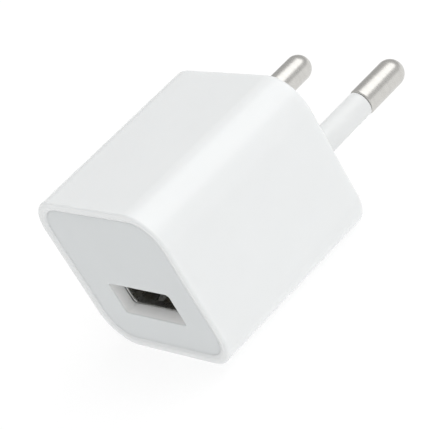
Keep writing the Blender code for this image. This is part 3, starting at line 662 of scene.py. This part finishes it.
def white_panel_look():
    """A lightly textured face, and walls inside the USB window painted lighter: painted light that
    offsets the shade in the recess.
    """
    roughness = (0.28, 0.30)
    material, shader = new_look("white_panel", roughness[0])
    tree = material.node_tree
    # Painted light: behind the face the colour turns to the lighter wall colour.
    painted_light_share = spread(tree, place_on(tree, "Y"), 0, 1, WALL_PAINTED_LIGHT_START, WALL_PAINTED_LIGHT_END)
    face_and_painted_light_tones = []
    for colour in (PANEL_FACE_COLOUR, WINDOW_WALL_PAINTED_LIGHT):
        face_and_painted_light_tones.append(blend_colours(tree, noise(tree, 5 * MM), *around(colour, 0.006)))
    tree.links.new(mixed(tree, painted_light_share, *face_and_painted_light_tones), shader.inputs["Base Color"])
    add_grain(tree, shader, roughness, 4 * MM, 0.002 * MM)
    return translucent(material)


def white_sleeve_look():
    colours = around((0.845, 0.857, 0.852), 0.006)
    look = finish_look(
        "white_sleeve",
        colours,
        roughness=(0.34, 0.38),
        blotch=3 * MM,
        grain=1.5 * MM,
        depth=0.0015 * MM,
    )
    return translucent(look)


def nickel_look():
    """Satin nickel with fine marks round the pin from its turning."""
    colours = around((0.61, 0.60, 0.575), 0.03)
    return finish_look(
        "satin_nickel",
        colours,
        roughness=(0.26, 0.34),
        blotch=0.5 * MM,
        grain=0.06 * MM,
        depth=0.001 * MM,
        metallic=1.0,
        stretch=(9, 1, 9),
    )


def steel_look():
    colours = around((0.60, 0.60, 0.585), 0.07)
    return finish_look(
        "tinned_steel",
        colours,
        roughness=(0.24, 0.40),
        blotch=0.7 * MM,
        grain=0.08 * MM,
        depth=0.002 * MM,
        metallic=1.0,
        stretch=(1, 8, 1),
    )


def gold_look():
    colours = around((0.86, 0.64, 0.27), 0.05)
    return finish_look(
        "gold_plate",
        colours,
        roughness=(0.18, 0.32),
        blotch=0.4 * MM,
        grain=0.05 * MM,
        depth=0.001 * MM,
        metallic=1.0,
        stretch=(1, 6, 1),
    )


def bronze_look():
    colours = ((0.60, 0.37, 0.21), (0.76, 0.52, 0.33))
    return finish_look(
        "phosphor_bronze",
        colours,
        roughness=(0.26, 0.44),
        blotch=0.9 * MM,
        grain=0.06 * MM,
        depth=0.0015 * MM,
        metallic=1.0,
        stretch=(1, 1, 6),
    )


def black_moulding_look():
    colours = ((0.012, 0.012, 0.013), (0.024, 0.024, 0.026))
    return finish_look(
        "black_moulding",
        colours,
        roughness=(0.36, 0.52),
        blotch=1.5 * MM,
        grain=0.08 * MM,
        depth=0.004 * MM,
    )


def laminate_look():
    """Solder mask over copper tracks: raised lighter lanes on a darker green, with a fine weave."""
    material, shader = new_look("board_laminate", 0.35)
    tree = material.node_tree
    lanes = tree.nodes.new("ShaderNodeTexBrick")
    lanes.inputs["Scale"].default_value = 1.0
    lanes.inputs["Mortar Size"].default_value = 0.12
    lanes.inputs["Brick Width"].default_value = 1.7
    lanes.inputs["Row Height"].default_value = 0.6
    lanes.inputs["Color1"].default_value = (0.030, 0.190, 0.070, 1)
    lanes.inputs["Color2"].default_value = (0.045, 0.230, 0.085, 1)
    lanes.inputs["Mortar"].default_value = (0.012, 0.095, 0.035, 1)
    tree.links.new(place_of(tree, 1.6 * MM, (1, 1, 1)), lanes.inputs["Vector"])
    tree.links.new(lanes.outputs["Color"], shader.inputs["Base Color"])
    weave = noise(tree, 0.15 * MM)
    tree.links.new(spread(tree, weave, 0.28, 0.46), shader.inputs["Roughness"])
    emboss(tree, shader, lanes.outputs["Fac"], 0.02 * MM)
    return material


def film_look():
    colours = ((0.74, 0.69, 0.52), (0.82, 0.78, 0.62))
    return finish_look(
        "polyester_film",
        colours,
        roughness=(0.18, 0.36),
        blotch=3 * MM,
        grain=0.5 * MM,
        depth=0.010 * MM,
    )


def ferrite_look():
    colours = ((0.030, 0.030, 0.034), (0.085, 0.085, 0.092))
    return finish_look(
        "ferrite",
        colours,
        roughness=(0.45, 0.75),
        blotch=0.12 * MM,
        grain=0.06 * MM,
        depth=0.012 * MM,
    )


def copper_wire_look():
    """Enamelled wire laid side by side, turn after turn, with painted shade darkening the grooves
    between turns.
    """
    material, shader = new_look("enamelled_wire", 0.28, 1.0)
    tree = material.node_tree
    turns = slanting_bands(tree, 0.16 * MM, 0.4)
    # Painted shade: the colour is darkest in the low grooves between the turns.
    colour = blend_colours(tree, turns, (0.22, 0.07, 0.025), (0.66, 0.28, 0.11), 0.1, 0.8)
    tree.links.new(colour, shader.inputs["Base Color"])
    tree.links.new(spread(tree, noise(tree, 0.4 * MM), 0.20, 0.36), shader.inputs["Roughness"])
    emboss(tree, shader, turns, 0.05 * MM)
    return material


def tape_look():
    colours = ((0.78, 0.58, 0.06), (0.88, 0.70, 0.12))
    return finish_look(
        "yellow_tape",
        colours,
        roughness=(0.22, 0.36),
        blotch=2.5 * MM,
        grain=0.6 * MM,
        depth=0.012 * MM,
    )


def can_sleeve_look():
    colours = ((0.045, 0.055, 0.115), (0.070, 0.080, 0.150))
    return finish_look(
        "can_sleeve",
        colours,
        roughness=(0.22, 0.34),
        blotch=2.0 * MM,
        grain=0.3 * MM,
        depth=0.006 * MM,
    )


def aluminium_look():
    colours = around((0.76, 0.77, 0.78), 0.05)
    return finish_look(
        "drawn_aluminium",
        colours,
        roughness=(0.22, 0.38),
        blotch=0.6 * MM,
        grain=0.07 * MM,
        depth=0.002 * MM,
        metallic=1.0,
        stretch=(1, 1, 9),
    )


def rubber_look():
    colours = ((0.018, 0.018, 0.018), (0.034, 0.034, 0.034))
    return finish_look(
        "seal_rubber",
        colours,
        roughness=(0.70, 0.88),
        blotch=0.8 * MM,
        grain=0.1 * MM,
        depth=0.010 * MM,
    )


def blue_lacquer_look():
    colours = ((0.035, 0.140, 0.430), (0.055, 0.190, 0.540))
    return finish_look(
        "blue_lacquer",
        colours,
        roughness=(0.26, 0.44),
        blotch=1.2 * MM,
        grain=0.4 * MM,
        depth=0.030 * MM,
    )


def resistor_lacquer_look():
    colours = ((0.150, 0.350, 0.240), (0.220, 0.440, 0.310))
    return finish_look(
        "resistor_lacquer",
        colours,
        roughness=(0.42, 0.60),
        blotch=0.8 * MM,
        grain=0.15 * MM,
        depth=0.020 * MM,
    )


def epoxy_look():
    colours = ((0.018, 0.018, 0.019), (0.036, 0.036, 0.037))
    return finish_look(
        "package_epoxy",
        colours,
        roughness=(0.48, 0.66),
        blotch=0.5 * MM,
        grain=0.06 * MM,
        depth=0.006 * MM,
    )


def ceramic_look():
    colours = ((0.47, 0.35, 0.23), (0.60, 0.47, 0.32))
    return finish_look(
        "chip_ceramic",
        colours,
        roughness=(0.42, 0.58),
        blotch=0.3 * MM,
        grain=0.05 * MM,
        depth=0.004 * MM,
    )


def glaze_look():
    colours = ((0.030, 0.030, 0.038), (0.060, 0.060, 0.070))
    return finish_look(
        "resistor_glaze",
        colours,
        roughness=(0.24, 0.40),
        blotch=0.4 * MM,
        grain=0.1 * MM,
        depth=0.004 * MM,
    )


def make_looks():
    """A finish for each of the record's material slots."""
    return {
        "case_plastic": white_case_look(),
        "panel_plastic": white_panel_look(),
        "sleeve_plastic": white_sleeve_look(),
        "pin_nickel": nickel_look(),
        "shield_steel": steel_look(),
        "contact_gold": gold_look(),
        "bronze": bronze_look(),
        "black_moulding": black_moulding_look(),
        "board_laminate": laminate_look(),
        "insulating_film": film_look(),
        "ferrite": ferrite_look(),
        "copper_wire": copper_wire_look(),
        "yellow_tape": tape_look(),
        "capacitor_sleeve": can_sleeve_look(),
        "aluminium_can": aluminium_look(),
        "bung_rubber": rubber_look(),
        "blue_lacquer": blue_lacquer_look(),
        "resistor_lacquer": resistor_lacquer_look(),
        "package_epoxy": epoxy_look(),
        "chip_ceramic": ceramic_look(),
        "resistor_glaze": glaze_look(),
    }


def paint(obj, look):
    obj.data.materials.clear()
    obj.data.materials.append(look)


def add_piece(obj, looks, slot, *nodes, body="charger"):
    """Gives a piece its finish, and says what it rides on and which CAD nodes it stands for."""
    paint(obj, looks[slot])
    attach(obj, body)
    if nodes:
        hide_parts(*nodes)


# Floor, light and camera.

CAMERA_AZIMUTH = 60.93
CAMERA_ELEVATION = 27.32
CAMERA_ROLL = 30.96
CAMERA_DISTANCE = 263.9 * MM
CAMERA_AIM = Vector((-3.80, -10.87, -3.79)) * MM
CAMERA_LENS = 162.75
CAMERA_CLIP_START = 10 * MM

KEY_AZIMUTH = 125
KEY_ELEVATION = 66
KEY_DISTANCE = 0.6
KEY_SIZE = 0.8
KEY_POWER = 2.3

FLOOR_SIZE = 3.0
FLOOR_SEGMENTS = 8
FLOOR_COLOUR = (0.30, 0.30, 0.30)
FLOOR_GLOW = 0.72

# The room's strength at -X, and from where a direction's X reaches WORLD_BRIGHT_FROM.
WORLD_DARK = 0.54
WORLD_BRIGHT = 0.66
WORLD_BRIGHT_FROM = 0.4


def direction(azimuth, elevation):
    """The unit vector towards a viewer. Azimuth 0 is in front of the socket, and 90 is at +X."""
    turn = math.radians(azimuth)
    rise = math.radians(elevation)
    return Vector((
        math.sin(turn) * math.cos(rise),
        -math.cos(turn) * math.cos(rise),
        math.sin(rise),
    ))


def add_camera():
    back = direction(CAMERA_AZIMUTH, CAMERA_ELEVATION)
    level = Vector((0, 0, 1)).cross(back).normalized()
    upright = back.cross(level)
    roll = math.radians(CAMERA_ROLL)
    right = level * math.cos(roll) - upright * math.sin(roll)
    up = back.cross(right)
    data = bpy.data.cameras.new("camera")
    data.lens = CAMERA_LENS
    data.clip_start = CAMERA_CLIP_START
    camera = bpy.data.objects.new("camera", data)
    turn = Matrix((right, up, back)).transposed().to_4x4()
    camera.matrix_world = Matrix.Translation(CAMERA_AIM + back * CAMERA_DISTANCE) @ turn
    bpy.context.scene.collection.objects.link(camera)
    bpy.context.scene.camera = camera


def add_key_light():
    """One large soft light, high over the +X side and towards the pins, aimed at the case's middle."""
    data = bpy.data.lights.new("key_light", "AREA")
    data.shape = "RECTANGLE"
    data.size = KEY_SIZE
    data.size_y = KEY_SIZE
    data.energy = KEY_POWER
    light = bpy.data.objects.new("key_light", data)
    towards = direction(KEY_AZIMUTH, KEY_ELEVATION)
    light.location = towards * KEY_DISTANCE + Vector((0, CASE_FRONT / 2, 0))
    light.rotation_mode = "QUATERNION"
    light.rotation_quaternion = towards.to_track_quat("Z", "Y")
    bpy.context.scene.collection.objects.link(light)


def add_world():
    """A soft white room, a little darker on the -X side."""
    world = bpy.data.worlds.new("studio")
    world.use_nodes = True
    tree = world.node_tree
    background = tree.nodes["Background"]
    source = tree.nodes.new("ShaderNodeTexCoord")
    parts = tree.nodes.new("ShaderNodeSeparateXYZ")
    level = tree.nodes.new("ShaderNodeMapRange")
    level.inputs["From Min"].default_value = -1.0
    level.inputs["From Max"].default_value = WORLD_BRIGHT_FROM
    level.inputs["To Min"].default_value = WORLD_DARK
    level.inputs["To Max"].default_value = WORLD_BRIGHT
    background.inputs["Color"].default_value = (1, 1, 1, 1)
    tree.links.new(source.outputs["Generated"], parts.inputs["Vector"])
    tree.links.new(parts.outputs["X"], level.inputs["Value"])
    tree.links.new(level.outputs["Result"], background.inputs["Strength"])
    bpy.context.scene.world = world


def floor_look():
    """A matte pale floor that glows, which keeps the object's shadow on it pale."""
    colours = around(FLOOR_COLOUR, 0.01)
    look = finish_look(
        "pale_floor",
        colours,
        roughness=(0.60, 0.80),
        blotch=30 * MM,
        grain=1 * MM,
        depth=0.01 * MM,
    )
    shader = look.node_tree.nodes["Principled BSDF"]
    shader.inputs["Emission Color"].default_value = (1, 1, 1, 1)
    shader.inputs["Emission Strength"].default_value = FLOOR_GLOW
    return look


def add_floor():
    """A plain pale floor under the lowest point of the object."""
    bm = bmesh.new()
    bmesh.ops.create_grid(bm, x_segments=FLOOR_SEGMENTS, y_segments=FLOOR_SEGMENTS, size=FLOOR_SIZE / 2)
    mesh = bpy.data.meshes.new("floor")
    bm.to_mesh(mesh)
    bm.free()
    floor = bpy.data.objects.new("floor", mesh)
    floor.location = (0, 0, cad_box[0].z)
    mesh.materials.append(floor_look())
    bpy.context.scene.collection.objects.link(floor)


def main():
    looks = make_looks()
    for part in frame["record"]["subparts"]:
        paint(frame["nodes"][part["node"]], looks[part["material_slot"]])
    add_piece(make_case(), looks, "case_plastic", "case_shell")
    add_piece(make_panel(), looks, "panel_plastic", "front_panel")
    for side, label in ((-1, "left"), (1, "right")):
        add_piece(make_pin(side, label), looks, "pin_nickel", "pin_" + label)
        add_piece(make_sleeve(side, label), looks, "sleeve_plastic", "pin_sleeve_" + label)
    add_piece(make_socket_shell(), looks, "shield_steel", "usb_shield")
    for finger in make_spring_fingers():
        add_piece(finger, looks, "shield_steel")
    for number in CONTACT_NUMBERS:
        node = f"usb_contact_{number}"
        add_piece(make_contact(number), looks, "contact_gold", node, body=f"contact_{number}")
    add_floor()
    add_world()
    add_key_light()
    add_camera()
    bpy.context.scene.view_settings.view_transform = "Standard"


main()
